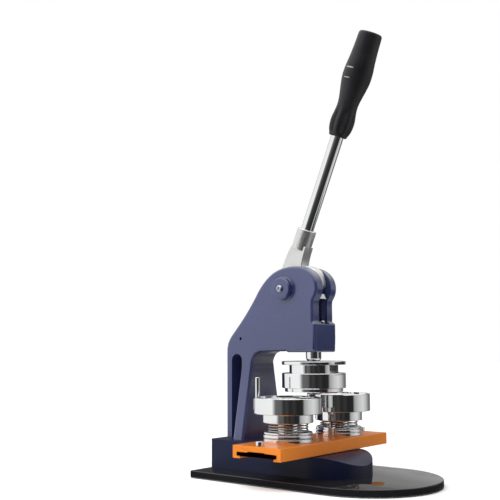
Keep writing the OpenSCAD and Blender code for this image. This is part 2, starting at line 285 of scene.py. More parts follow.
def join(name, obs):
    """one object from several, each a closed shell of its own"""
    bm = bmesh.new()
    for o in obs:
        bm.from_mesh(o.data)
    me = bpy.data.meshes.new(name)
    bm.to_mesh(me)
    bm.free()
    ang = 32
    drop(*obs)
    return shade(link(me, name), ang)


def at(x, y, z, rx=0, ry=0, rz=0):
    m = Matrix.Translation((x, y, z))
    return m @ Matrix.Rotation(math.radians(rz), 4, "Z") @ Matrix.Rotation(math.radians(ry), 4, "Y") @ Matrix.Rotation(math.radians(rx), 4, "X")


ROD = Matrix.Translation(PIVOT) @ Matrix.Rotation(TILT, 4, "X") @ Matrix.Translation((0, OFF, 0))


def hexhead(name, head_r, head_h, sock_r, depth, shank_r=0, shank=0, matrix=Matrix(), dome=0.0, seg=48):
    """a socket screw: rounded head with a hex recess, under-head face at z 0"""
    verts, faces = [], []

    def ring(fn, z):
        i0 = len(verts)
        for k in range(seg):
            a = 2 * math.pi * k / seg
            r = fn(a)
            verts.append((r * math.cos(a), r * math.sin(a), z))
        return i0

    def hexa(r):
        return lambda a: r * math.cos(math.pi / 6) / math.cos(((a) % (math.pi / 3)) - math.pi / 6)

    rings = []
    if shank > 0:
        rings += [ring(lambda a: shank_r - 0.3, -shank), ring(lambda a: shank_r, -shank + 0.4), ring(lambda a: shank_r, 0)]
    rings.append(ring(lambda a: head_r - 0.25, 0.0))
    rings.append(ring(lambda a: head_r, 0.3))
    c = min(0.6, head_h * 0.3)
    top = head_h
    rings.append(ring(lambda a: head_r, top - c - dome))
    for k in (1, 2, 3):
        t = k / 3 * math.pi / 2
        rings.append(ring(lambda a, t=t: head_r - c * (1 - math.cos(t)), top - c - dome + c * math.sin(t)))
    if dome > 0:
        rings.append(ring(lambda a: (head_r + sock_r) / 2, top - dome * 0.25))
        rings.append(ring(lambda a: sock_r * 1.15, top))
    rings.append(ring(hexa(sock_r), top))
    rings.append(ring(hexa(sock_r * 0.96), top - 0.3))
    rings.append(ring(hexa(sock_r * 0.96), top - depth))
    if shank > 0:
        faces.append(tuple(rings[0] + k for k in range(seg))[::-1])
    else:
        faces.append(tuple(rings[0] + k for k in range(seg))[::-1])
    for a, b in zip(rings[:-1], rings[1:]):
        for k in range(seg):
            j = (k + 1) % seg
            faces.append((a + k, a + j, b + j, b + k))
    i0 = len(verts)
    verts.append((0, 0, top - depth - 0.5))
    for k in range(seg):
        faces.append((rings[-1] + k, rings[-1] + (k + 1) % seg, i0))
    verts = [tuple(matrix @ Vector(v)) for v in verts]
    return mesh(name, verts, faces, 30)


def coil(name, centre, rc, rw, z0, z1, turns, seg=44, sides=12, dead=0.85, matrix=None):
    """a compression spring with closed, flattened ends between z0 and z1"""
    total = turns + 2 * dead
    n = int(total * seg)
    lo, hi = z0 + rw, z1 - rw
    verts, faces = [], []
    closed = 2 * rw * 1.02 * dead
    for i in range(n + 1):
        t = i / n * total
        if t < dead:
            z = lo + closed * (t / dead) ** 1.6
        elif t > total - dead:
            z = hi - closed * ((total - t) / dead) ** 1.6
        else:
            s = (t - dead) / turns
            z = lo + closed + (hi - lo - 2 * closed) * s
        a = 2 * math.pi * t
        c = Vector((centre[0] + rc * math.cos(a), centre[1] + rc * math.sin(a), z))
        out = Vector((math.cos(a), math.sin(a), 0))
        for k in range(sides):
            b = 2 * math.pi * k / sides
            verts.append(tuple(c + out * (rw * math.cos(b)) + Vector((0, 0, rw * math.sin(b)))))
    for i in range(n):
        for k in range(sides):
            j = (k + 1) % sides
            faces.append((i * sides + k, i * sides + j, (i + 1) * sides + j, (i + 1) * sides + k))
    faces.append(tuple(range(sides))[::-1])
    faces.append(tuple(n * sides + k for k in range(sides)))
    if matrix is not None:
        verts = [tuple(matrix @ Vector(v)) for v in verts]
    return mesh(name, verts, faces, 40)


# ------------------------------------------------------------------ materials


def material(name, color, metallic=0.0, rough=0.4, spec=0.5, coat=0.0, coat_rough=0.1, ior=1.5):
    m = bpy.data.materials.new(name)
    m.use_nodes = True
    nt = m.node_tree
    b = nt.nodes["Principled BSDF"]
    b.inputs["Base Color"].default_value = (*color, 1)
    b.inputs["Metallic"].default_value = metallic
    b.inputs["Roughness"].default_value = rough
    b.inputs["Specular IOR Level"].default_value = spec
    b.inputs["IOR"].default_value = ior
    b.inputs["Coat Weight"].default_value = coat
    b.inputs["Coat Roughness"].default_value = coat_rough
    return m, nt, b


def coords(nt, scale=(1, 1, 1), rot=(0, 0, 0), loc=(0, 0, 0)):
    tc = nt.nodes.new("ShaderNodeTexCoord")
    mp = nt.nodes.new("ShaderNodeMapping")
    mp.inputs["Scale"].default_value = scale
    mp.inputs["Rotation"].default_value = rot
    mp.inputs["Location"].default_value = loc
    nt.links.new(tc.outputs["Object"], mp.inputs["Vector"])
    return mp.outputs["Vector"]


def noise(nt, vec, scale, detail=3.0, rough=0.5):
    n = nt.nodes.new("ShaderNodeTexNoise")
    n.inputs["Scale"].default_value = scale
    n.inputs["Detail"].default_value = detail
    n.inputs["Roughness"].default_value = rough
    nt.links.new(vec, n.inputs["Vector"])
    return n.outputs["Fac"]


def ramp(nt, fac, stops, interp="LINEAR"):
    r = nt.nodes.new("ShaderNodeValToRGB")
    r.color_ramp.interpolation = interp
    el = r.color_ramp.elements
    while len(el) < len(stops):
        el.new(0.5)
    for e, (p, c) in zip(el, stops):
        e.position = p
        e.color = (*c, 1) if isinstance(c, (tuple, list)) else (c, c, c, 1)
    nt.links.new(fac, r.inputs["Fac"])
    return r.outputs["Color"]


def map_range(nt, val, a, b, c, d):
    m = nt.nodes.new("ShaderNodeMapRange")
    for k, v in zip(("From Min", "From Max", "To Min", "To Max"), (a, b, c, d)):
        m.inputs[k].default_value = v
    nt.links.new(val, m.inputs["Value"])
    return m.outputs["Result"]


def bump(nt, b, height, strength, dist=0.001, chain=None):
    n = nt.nodes.new("ShaderNodeBump")
    n.inputs["Strength"].default_value = strength
    n.inputs["Distance"].default_value = dist
    nt.links.new(height, n.inputs["Height"])
    if chain is not None:
        nt.links.new(chain, n.inputs["Normal"])
    nt.links.new(n.outputs["Normal"], b.inputs["Normal"])
    return n.outputs["Normal"]


def math_node(nt, op, a, b=None, c=None):
    n = nt.nodes.new("ShaderNodeMath")
    n.operation = op
    for i, v in enumerate((a, b, c)):
        if v is None:
            continue
        if isinstance(v, (int, float)):
            n.inputs[i].default_value = v
        else:
            nt.links.new(v, n.inputs[i])
    return n.outputs[0]


def blue_paint(name="navy_enamel", tint=(0.020, 0.029, 0.104), ior=1.60, coat=1.0, rough=0.32):
    m, nt, b = material(name, tint, rough=rough, spec=0.5, coat=coat, coat_rough=0.2, ior=ior)
    v = coords(nt)
    tone = noise(nt, v, 9, 4)
    nt.links.new(ramp(nt, tone, [(0.3, tuple(c * 0.86 for c in tint)), (0.7, tuple(c * 1.12 for c in tint))]), b.inputs["Base Color"])
    rg = noise(nt, v, 38, 3)
    nt.links.new(map_range(nt, rg, 0.3, 0.7, rough - 0.06, rough + 0.06), b.inputs["Roughness"])
    c = bump(nt, b, noise(nt, v, 420, 2, 0.4), 0.05, 0.0006)
    bump(nt, b, noise(nt, v, 60, 2, 0.4), 0.03, 0.0012, chain=c)
    return m


def gloss_black():
    m, nt, b = material("black_laminate", (0.008, 0.008, 0.009), rough=0.06, spec=0.5)
    v = coords(nt)
    n = noise(nt, v, 24, 5, 0.6)
    nt.links.new(map_range(nt, n, 0.35, 0.75, 0.03, 0.09), b.inputs["Roughness"])
    nt.links.new(ramp(nt, noise(nt, v, 6, 3), [(0.3, (0.007, 0.007, 0.008)), (0.75, (0.013, 0.013, 0.014))]), b.inputs["Base Color"])
    bump(nt, b, noise(nt, v, 120, 2), 0.003, 0.0004)
    return m


def orange():
    m, nt, b = material("orange_anodised", (0.88, 0.26, 0.022), metallic=0.42, rough=0.30, spec=0.5)
    v = coords(nt, (3, 420, 420))
    lines = noise(nt, v, 1.6, 4, 0.6)
    tone = noise(nt, coords(nt), 14, 3)
    nt.links.new(ramp(nt, tone, [(0.3, (0.78, 0.215, 0.017)), (0.7, (0.85, 0.255, 0.026))]), b.inputs["Base Color"])
    nt.links.new(map_range(nt, lines, 0.3, 0.7, 0.285, 0.325), b.inputs["Roughness"])
    bump(nt, b, lines, 0.008, 0.0003)
    return m


def chrome(name="turned_chrome", rough=0.045, axis=(0.0, 0.0), tint=(0.87, 0.875, 0.88), grooves=True):
    m, nt, b = material(name, tint, metallic=1.0, rough=rough)
    v = coords(nt)
    n = noise(nt, v, 55, 4)
    nt.links.new(map_range(nt, n, 0.3, 0.75, rough * 0.7, rough * 1.9), b.inputs["Roughness"])
    nt.links.new(ramp(nt, noise(nt, v, 18, 3), [(0.25, tuple(c * 0.95 for c in tint)), (0.75, tint)]), b.inputs["Base Color"])
    if grooves:
        # fine lathe marks: rings about the part's own axis
        sep = nt.nodes.new("ShaderNodeSeparateXYZ")
        nt.links.new(v, sep.inputs[0])
        x = math_node(nt, "SUBTRACT", sep.outputs[0], axis[0])
        y = math_node(nt, "SUBTRACT", sep.outputs[1], axis[1])
        r = math_node(nt, "SQRT", math_node(nt, "ADD", math_node(nt, "MULTIPLY", x, x), math_node(nt, "MULTIPLY", y, y)))
        comb = nt.nodes.new("ShaderNodeCombineXYZ")
        nt.links.new(r, comb.inputs[0])
        nt.links.new(sep.outputs[2], comb.inputs[2])
        g = nt.nodes.new("ShaderNodeTexNoise")
        g.inputs["Scale"].default_value = 1400
        g.inputs["Detail"].default_value = 2
        nt.links.new(comb.outputs[0], g.inputs["Vector"])
        bump(nt, b, g.outputs["Fac"], 0.035, 0.0003)
    else:
        bump(nt, b, noise(nt, v, 300, 2), 0.02, 0.0003)
    return m


def steel(name="zinc_steel", tint=(0.56, 0.57, 0.59), rough=0.28):
    m, nt, b = material(name, tint, metallic=1.0, rough=rough)
    v = coords(nt)
    n = noise(nt, v, 180, 4)
    nt.links.new(map_range(nt, n, 0.3, 0.7, rough * 0.75, rough * 1.35), b.inputs["Roughness"])
    nt.links.new(ramp(nt, noise(nt, v, 40, 3), [(0.3, tuple(c * 0.88 for c in tint)), (0.7, tint)]), b.inputs["Base Color"])
    bump(nt, b, noise(nt, v, 500, 3), 0.05, 0.0003)
    return m


def cast_silver():
    m, nt, b = material("cast_aluminium", (0.74, 0.74, 0.73), metallic=0.95, rough=0.30, spec=0.5)
    v = coords(nt)
    nt.links.new(ramp(nt, noise(nt, v, 30, 4), [(0.3, (0.70, 0.70, 0.69)), (0.7, (0.78, 0.78, 0.77))]), b.inputs["Base Color"])
    nt.links.new(map_range(nt, noise(nt, v, 90, 3), 0.3, 0.7, 0.33, 0.42), b.inputs["Roughness"])
    c = bump(nt, b, noise(nt, v, 700, 2, 0.5), 0.02, 0.0003)
    bump(nt, b, noise(nt, v, 130, 2), 0.015, 0.0006, chain=c)
    return m


def grip_black():
    m, nt, b = material("grip_plastic", (0.008, 0.008, 0.010), rough=0.42, spec=0.4)
    v = coords(nt)
    nt.links.new(ramp(nt, noise(nt, v, 22, 3), [(0.3, (0.006, 0.006, 0.008)), (0.7, (0.011, 0.011, 0.013))]), b.inputs["Base Color"])
    nt.links.new(map_range(nt, noise(nt, v, 60, 3), 0.3, 0.7, 0.36, 0.50), b.inputs["Roughness"])
    c = bump(nt, b, noise(nt, v, 1500, 2, 0.5), 0.14, 0.0003)
    bump(nt, b, noise(nt, v, 160, 2), 0.05, 0.0006, chain=c)
    return m


def rubber():
    m, nt, b = material("anti_slip", (0.09, 0.09, 0.095), rough=0.7, spec=0.3)
    v = coords(nt)
    nt.links.new(ramp(nt, noise(nt, v, 200, 4), [(0.3, (0.06, 0.06, 0.065)), (0.7, (0.12, 0.12, 0.125))]), b.inputs["Base Color"])
    bump(nt, b, noise(nt, v, 700, 3), 0.3, 0.0005)
    return m


def bronze():
    m, nt, b = material("bearing_bronze", (0.60, 0.42, 0.19), metallic=1.0, rough=0.32)
    v = coords(nt)
    nt.links.new(ramp(nt, noise(nt, v, 120, 4), [(0.3, (0.50, 0.34, 0.15)), (0.7, (0.66, 0.47, 0.22))]), b.inputs["Base Color"])
    bump(nt, b, noise(nt, v, 600, 3), 0.08, 0.0003)
    return m


MAT = {
    "blue_paint": blue_paint(),
    # the foot's copy of the navy enamel is about three times darker: painted shade for the lower casting, which gets
    # less light
    "blue_foot_painted_shade": blue_paint("navy_enamel_painted_shade", (0.007, 0.010, 0.034), 1.33, 0.0, 0.36),
    "base_gloss": gloss_black(),
    "orange_anodised": orange(),
    "sheet": rubber(),
    "steel": steel(),
    "spring_steel": steel("spring_wire", (0.46, 0.455, 0.44), 0.22),
    "cast_silver": cast_silver(),
    "bronze": bronze(),
    "grip_black": grip_black(),
    "chrome": chrome(),
    "chrome_near": chrome("turned_chrome_near", axis=(-0.05375, 0)),
    "chrome_far": chrome("turned_chrome_far", axis=(0.05375, 0)),
    # pale silver for the grip's raised marks: painted highlight standing in for the light the black moulded marks catch
    "bar_painted_highlight": steel("moulded_mark_painted_highlight", (0.50, 0.50, 0.50), 0.4),
    "chrome_rod": chrome("drawn_chrome", rough=0.05, grooves=False),
}


def dress(ob, body, nodes, slot, mat=None):
    """finish, attach to its body, and stand for the CAD nodes"""
    ob.data.materials.clear()
    ob.data.materials.append(MAT[mat or slot])
    weighted(ob)
    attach(ob, body)
    if nodes:
        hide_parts(*([nodes] if isinstance(nodes, str) else nodes))
    return ob


# ------------------------------------------------------------------ base plate and foot

BW, BB, BA = 176.3, 125.1, 71.3
BR = 88.1


def d_outline(ins):
    pts = [(-BW / 2 + ins, BB - ins), (-BW / 2 + ins, -BA)]
    r = BR - ins
    for k in range(1, 96):
        a = math.pi + math.pi * k / 96
        pts.append((r * math.cos(a), -BA + r * math.sin(a)))
    pts += [(BW / 2 - ins, -BA), (BW / 2 - ins, BB - ins)]
    radii = [0.0] * len(pts)
    radii[0] = radii[-1] = 2.2
    return fillet(pts, radii, 5)


plate = prism("base_board", d_outline(0), 1.4, 8.9, 0.25, 0.9, n=4)
dress(plate, "frame", "base_plate", "base_gloss")
sheet = prism("anti_slip_pad", d_outline(0.4), 0.0, 1.4, 0.3, 0.15, n=2)
for x, y in ((-40, 105), (40, 105), (-36, -30), (36, -30)):
    boolean(sheet, lathe("c", [(0, -1), (7, -1), (7, 3), (0, 3)], 48, (x, y)))
for ob_, z0_, z1_, r_ in ((plate, 1.0, 3.0, 6.7),):
    for x, y in ((-40, 105), (40, 105), (-36, -30), (36, -30)):
        boolean(ob_, lathe("c", [(0, 1.0), (6.6, 1.0), (6.6, 1.45), (3.4, 4.6), (3.4, 12), (0, 12)], 48, (x, y)))
shade(plate, 32)
shade(sheet, 32)
dress(sheet, "frame", "anti_slip_sheet", "sheet")


def foot():
    prof = [(123.4, 8.9), (123.4, 44.2), (36.5, 44.2), (36.5, 33.4), (-33, 33.4)]
    prof += [(-33 - 71 * math.sin(math.radians(a)), 33.4 - 71 * (1 - math.cos(math.radians(a)))) for a in np.arange(1.0, 33.6, 1.2)]
    prof += [(-74, 8.9)]
    body = prism("foot", prof, -65, 65, axis="x")
    plan = [(-53, 123.4), (-53, -19)] + [(53 * math.cos(math.pi + math.pi * k / 72), -19 + 53 * math.sin(math.pi + math.pi * k / 72)) for k in range(1, 72)] + [(53, -19), (53, 123.4)]
    radii = [0.0] * len(plan)
    radii[0] = radii[-1] = 5
    cut = prism("c", fillet(plan, radii, 8), 8.9, 60)
    boolean(body, cut, "INTERSECT")
    for x, y, r, rr in ((-27, 88, 4.3, 7.2), (27, 88, 4.3, 7.2), (-13, 117.5, 3.3, 5.4), (13, 117.5, 3.3, 5.4)):
        boolean(body, lathe("c", [(0, 0), (rr, 0), (rr, 18.5), (r, 18.5), (r, 60), (0, 60)], 40, (x, y)))
    # rounds the upper edges, not the edge that lies on the plate
    bm = bmesh.new()
    bm.from_mesh(body.data)
    lay = bm.edges.layers.float.new("bevel_weight_edge")
    for e in bm.edges:
        if len(e.link_faces) != 2:
            continue
        ang = e.calc_face_angle(0)
        mid = (e.verts[0].co + e.verts[1].co) / 2
        inner = any(math.hypot(mid.x - x / 1000, mid.y - y / 1000) < 0.0085 for x, y in ((-27, 88), (27, 88), (-13, 117.5), (13, 117.5)))
        if ang > math.radians(24) and mid.z > 0.0095 and not inner:
            e[lay] = 1.0
    bm.to_mesh(body.data)
    bm.free()
    m = body.modifiers.new("bev", "BEVEL")
    m.width, m.segments, m.limit_method = 3.0 * MM, 5, "WEIGHT"
    m.use_clamp_overlap = True
    baked(body)
    return shade(body, 30)


# the foot uses the darker copy of the frame's enamel, with shade painted into its colour
dress(foot(), "frame", "foot_casting", "blue_paint", "blue_foot_painted_shade")

# ------------------------------------------------------------------ frame casting

HEAD_FRONT = smooth(
    [(-18.2, 184.4), (-18, 186), (-16.9, 187.4), (-15, 188.2), (-14.1, 190), (-14.1, 196), (-14.1, 211), (-15.2, 216), (-18.2, 220.8), (-19.9, 226), (-20.3, 232),
     (-18.8, 239), (-14.6, 246), (-8, 251.6), (1, 255.6), (12, 257.3), (24, 257), (36, 254.7), (46, 250.6), (54, 245.3), (61, 238.9),
     (69, 229.6), (75.5, 220), (83, 209.6), (91, 199.3), (99, 189.9), (108, 180), (115.2, 171.9), (119.6, 165.2), (121.9, 157)], 5)


def press_frame():
    out = [(79.5, 44.2), (79.5, 131)] + smooth([(79.5, 131), (79.1, 137.5), (77.2, 144.3), (73.2, 149.8), (67, 152.9)], 4)[1:]
    out += [(27.2, 153.8), (24.7, 152.2), (-16.7, 152.2), (-17.6, 152.7), (-18.1, 153.4), (-18.2, 154.4), (-18.2, 168)] + HEAD_FRONT + [(122, 150), (122, 44.2)]
    hw, R, n = 22.7, 3.6, 6
    o = out if ccw(out) is out else out[::-1]
    p = np.array(o, float)
    grown = inset(p, -0.7)
    for i, (y, z) in enumerate(p):
        if z > 156 or y > 121.5:  # the rounded outer edge stands a little proud of the plain outline
            p[i] = grown[i]
    p[:, 1] = np.where(np.array(o)[:, 1] < 44.3, 44.2, p[:, 1])
    rings = []
    for k in range(n + 1):
        d = R * (1 - math.cos(math.pi / 2 * (1 - k / n)))
        d = R * (1 - math.sin(math.pi / 2 * k / n))
        h = -hw + R * (1 - math.cos(math.pi / 2 * k / n))
        q = inset(p, d) if d > 1e-9 else p.copy()
        q[p[:, 1] < 44.3, 1] = 44.2
        rings.append((q, h))
    rings += [(q, -h) for q, h in rings[::-1]]
    verts, faces, m = [], [], len(o)
    for q, h in rings:
        verts += [(h, a, b) for a, b in q]
    for r in range(len(rings) - 1):
        for i in range(m):
            j = (i + 1) % m
            faces.append((r * m + i, r * m + j, (r + 1) * m + j, (r + 1) * m + i))
    faces.append(tuple(range(m))[::-1])
    faces.append(tuple((len(rings) - 1) * m + i for i in range(m)))
    body = mesh("press_frame_casting", verts, faces)
    # column flange that widens towards the foot
    v, f = [], []
    secs = []
    for z in (44.2, 150.0):
        w = 41.5 - (z - 44.2) * (41.5 - 22.7) / (145 - 44.2)
        secs.append([(a, b, z) for a, b in fillet([(-w, 79.5), (w, 79.5), (w, 96), (-w, 96)], 3.4, 6)])
    m = len(secs[0])
    for s in secs:
        v += s
    for i in range(m):
        f.append((i, (i + 1) % m, m + (i + 1) % m, m + i))
    f += [tuple(range(m))[::-1], tuple(m + i for i in range(m))]
    wing = mesh("w", v, f)
    boolean(body, wing, "UNION")
    # side recesses with an arched top
    for s in (-1, 1):
        arch = [(96, 30), (113, 30), (113, 141.5)] + [(104.5 + 8.5 * math.cos(math.pi * k / 20), 141.5 + 8.5 * math.sin(math.pi * k / 20)) for k in range(1, 20)] + [(96, 141.5)]
        cut = prism("c", arch, *sorted((s * 4, s * 60)), axis="x")
        boolean(body, cut)
    # lever slot
    boolean(body, prism("c", fillet([(-40, 186.4), (60, 186.4), (60, 290), (-40, 290)], [0, 5, 0, 0], 6), -8.9, 8.9, axis="x"))
    # bosses round the pivot
    for s in (-1, 1):
        prof = [(0, 20), (15.6, 20), (15.6, 22.8), (14.9, 23.0), (14.4, 23.4), (14.15, 24.0), (13.9, 28.6), (13.7, 29.3), (13.2, 30.0), (12.4, 30.4), (0, 30.4)]
        mtx = at(0, PIVOT[1], PIVOT[2], ry=90 * s)
        boolean(body, lathe("c", prof, 72, matrix=mtx), "UNION")
    # bores
    boolean(body, lathe("c", [(0, 140), (12.03, 140), (12.03, 181), (6.35, 181), (6.35, 200), (0, 200)], 64))
    boolean(body, lathe("c", [(0, -26.4), (6.03, -26.4), (6.03, 40), (0, 40)], 40, matrix=at(0, PIVOT[1], PIVOT[2], ry=90)))
    boolean(body, lathe("c", [(0, -40), (2.7, -40), (2.7, -20), (0, -20)], 32, matrix=at(0, PIVOT[1], PIVOT[2], ry=90)))
    boolean(body, lathe("c", [(0, 0), (1.9, 0), (1.9, 30), (0, 30)], 32, matrix=at(-11.5, 98.2, 169.4, ry=-90)))
    boolean(body, lathe("c", [(0, 180.5), (2.1, 180.5), (2.1, 195), (0, 195)], 24, (0, -13.4)))
    return bevel(body, 0.9, 3, angle=42, shade_angle=38)


dress(press_frame(), "frame", "press_frame", "blue_paint")

# ------------------------------------------------------------------ cross slide

half = [(0, 48.4), (34.3, 48.4), (34.3, 34), (23.9, 34), (23.9, 37.1), (28.1, 37.1), (28.1, 40.9), (12, 40.9), (11, 41.9)]
sect = half + [(-y, z) for y, z in half[:0:-1]]
slide = prism("slide_extrusion", fillet(sect, [0] + [0.7, 0.7, 0.5, 0.3, 0.3, 0.4, 0.2, 0.2] + [0.2, 0.2, 0.4, 0.3, 0.3, 0.5, 0.7, 0.7], 3), -113.55, 113.55, 0.35, 0.35, axis="x", n=2)
for s in (-1, 1):
    boolean(slide, lathe("c", [(0, 30), (2.6, 30), (2.6, 60), (0, 60)], 32, (s * 107.3, 0)))
    boolean(slide, lathe("c", [(0, 30), (8.8, 30), (8.8, 41), (4.3, 45.5), (4.3, 60), (0, 60)], 48, (s * 53.75, 0)))
shade(slide, 32)
dress(slide, "slide", "slide_plate", "orange_anodised")

stops = join("slide_stops", [hexhead("s", 4.4, 5.6, 2.3, 3.0, 2.5, 10.5, at(s * 107.3, 0, 48.4)) for s in (-1, 1)])
dress(stops, "slide", "slide_stop_screws", "chrome")

# ------------------------------------------------------------------ lower dies


def die(tag, x, base_top, cup_z, neck_z, body):
    ch = "chrome_" + tag
    h = base_top - 48.4
    z = lambda k: 48.4 + h * k
    prof = fillet([(0, 48.4), (29.4, 48.4), (29.4, z(0.36)), (28.0, z(0.36)), (28.0, z(0.43)), (29.4, z(0.43)), (29.4, z(0.73)), (27.6, z(0.73)),
                   (27.6, z(0.80)), (28.6, z(0.80)), (28.6, base_top), (0, base_top)], [0, 0.35, 0.35, 0.2, 0.2, 0.35, 0.35, 0.2, 0.2, 0.35, 0.45, 0], 3, closed=False)
    dress(lathe(tag + "_base_disc", prof, 144, (x, 0)), "slide", tag + "_die_base", "chrome", ch)
    core = fillet([(0, base_top), (12, base_top), (12, 83.2), (28.95, 83.2), (28.95, 88.4), (20, 88.4), (19, 87.2), (9, 87.2), (8.4, 86.4), (0, 86.4)],
                  [0, 0, 0.4, 0.5, 0.9, 0.3, 0.3, 0.2, 0.2, 0], 3, closed=False)
    dress(lathe(tag + "_core_disc", core, 144, (x, 0)), "slide", tag + "_die_core", "chrome", ch)
    cup = fillet([(12.4, 78), (24.6, 78), (24.6, neck_z), (29.7, neck_z), (29.7, cup_z), (40, cup_z), (40, 99.9), (36.8, 99.9), (36.2, 97.3),
                  (29.7, 97.3), (29.3, 96.9), (29.3, 82.6), (12.4, 82.6)], [0.2, 0.3, 0.4, 0.8, 0.6, 0.8, 0.7, 0.4, 0.3, 0.2, 0.2, 0.3, 0.3], 4)
    c = lathe(tag + "_cup", cup, 176, (x, 0), closed=True)
    if tag == "near":
        lug = prism("c", fillet([(-62, 36), (-52, 36), (-52, 43)] + [(-57 + 5 * math.cos(math.pi * k / 14), 43 + 5 * math.sin(math.pi * k / 14)) for k in range(1, 14)] + [(-62, 43)], 0.0), 84, 97, 0.8, 0.8)
        boolean(lug, lathe("c", [(0, 80), (33, 80), (33, 110), (0, 110)], 96, (x, 0)))
        boolean(c, lug, "UNION")
        boolean(c, lathe("c", [(0, 86.5), (2.78, 86.5), (2.78, 110), (0, 110)], 32, (-57, 43)))
        shade(c, 32)
    dress(c, body, tag + "_die_sleeve", "chrome", ch)
    sp = coil(tag + "_spring_coil", (x, 0), 23.15, 0.82, base_top + 0.02, 77.98, 4.3 if tag == "near" else 4.6)
    dress(sp, "slide", tag + "_die_spring", "spring_steel")
    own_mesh(sp)


die("near", -53.75, 60.5, 81.5, 71.0, "near_sleeve")
die("far", 53.75, 59.0, 78.6, 67.0, "far_sleeve")
pin = lathe("near_cup_pin", fillet([(0, 86.6), (2.75, 86.6), (2.75, 122.5), (0, 122.5)], [0, 0.3, 0.8, 0], 4, closed=False), 40, (-57, 43))
dress(pin, "near_sleeve", "near_sleeve_pin", "chrome", "chrome_rod")

# ------------------------------------------------------------------ ram and upper die

ram = lathe("ram_shaft", [(0, 141.2), (6.4, 141.2), (7.7, 141.8), (8.7, 142.8), (9.3, 144.1), (9.5, 145.4), (9.5, 180.2), (8.9, 180.8), (6, 180.8), (6, 217), (4, 217), (4, 220.6), (0, 220.6)], 96)
dress(ram, "ram", "ram", "chrome", "chrome")
pad = prism("ram_pad_block", fillet([(-8, -15.4), (8, -15.4), (8, 9), (-8, 9)], 1.2, 4), 217, 223.7, 0.5, 0.9, n=4)
boolean(pad, lathe("c", [(0, 210), (4.05, 210), (4.05, 220.8), (0, 220.8)], 32))
shade(pad, 32)
dress(pad, "ram", "ram_pad", "chrome", "chrome_rod")
sp = coil("ram_spring_coil", (0, 0), 7.45, 0.85, 186.42, 216.98, 4.2, seg=36)
dress(sp, "frame", "ram_return_spring", "spring_steel")
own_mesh(sp)
dress(hexhead("stroke_stop", 3.6, 3.7, 1.8, 2.0, 2.0, 5.6, at(0, -13.4, 186.4)), "frame", "stroke_stop_screw", "chrome")

fl = lathe("upper_flange_disc", fillet([(0, 137), (39.2, 137), (39.2, 141.2), (0, 141.2)], [0, 0.6, 0.8, 0], 4, closed=False), 176)
dress(fl, "ram", "upper_die_flange", "chrome")
core = lathe("upper_core_body", fillet([(0, 124.5), (8.6, 124.5), (8.6, 114.5), (28.9, 114.5), (28.9, 119), (30, 119), (30, 137), (0, 137)],
                                       [0, 0, 0.4, 0.9, 0.3, 0.4, 0, 0], 4, closed=False), 176)
for a in range(20, 360, 90):
    cut = prism("c", [(27.8, -2.55), (33, -2.55), (33, 2.55), (27.8, 2.55)], 116.4, 136.99)
    cut.data.transform(Matrix.Rotation(math.radians(a), 4, "Z"))
    boolean(core, cut)
shade(core, 32)
dress(core, "ram", "upper_die_core", "chrome")
ring = lathe("upper_ring_body", fillet([(29.4, 104.5), (35.7, 104.5), (35.7, 109), (39.2, 109), (39.2, 127), (30.06, 127), (30.06, 109), (29.4, 109)],
                                       [0.4, 0.7, 0.4, 0.7, 0.8, 0.4, 0, 0.2], 4), 176, closed=True)
for a in (20, 110):
    boolean(ring, lathe("c", [(0, 28), (2.6, 28), (2.6, 42), (0, 42)], 32, matrix=Matrix.Rotation(math.radians(a), 4, "Z") @ at(0, 0, 119, ry=90)))
shade(ring, 32)
dress(ring, "upper_ring", "upper_die_ring", "chrome")
gs = []
for a in (20, 110):
    m = Matrix.Rotation(math.radians(a), 4, "Z") @ at(0, 0, 119, ry=90)
    gs.append(hexhead("g", 2.5, 8.0, 1.25, 2.2, 2.2, 2.4, m @ Matrix.Translation((0, 0, 30.6))))
dress(join("ring_guide_screws", gs), "upper_ring", "upper_die_guide_screws", "steel")

# ------------------------------------------------------------------ lever

RB, CAM_END = 28.5, 0.937


def involute(t):
    s = 6.3 + RB * t
    return (-RB * math.cos(t) - s * math.sin(t), RB * math.sin(t) - s * math.cos(t))


def lev(y, z):
    return (y * math.cos(TILT) - z * math.sin(TILT), y * math.sin(TILT) + z * math.cos(TILT))


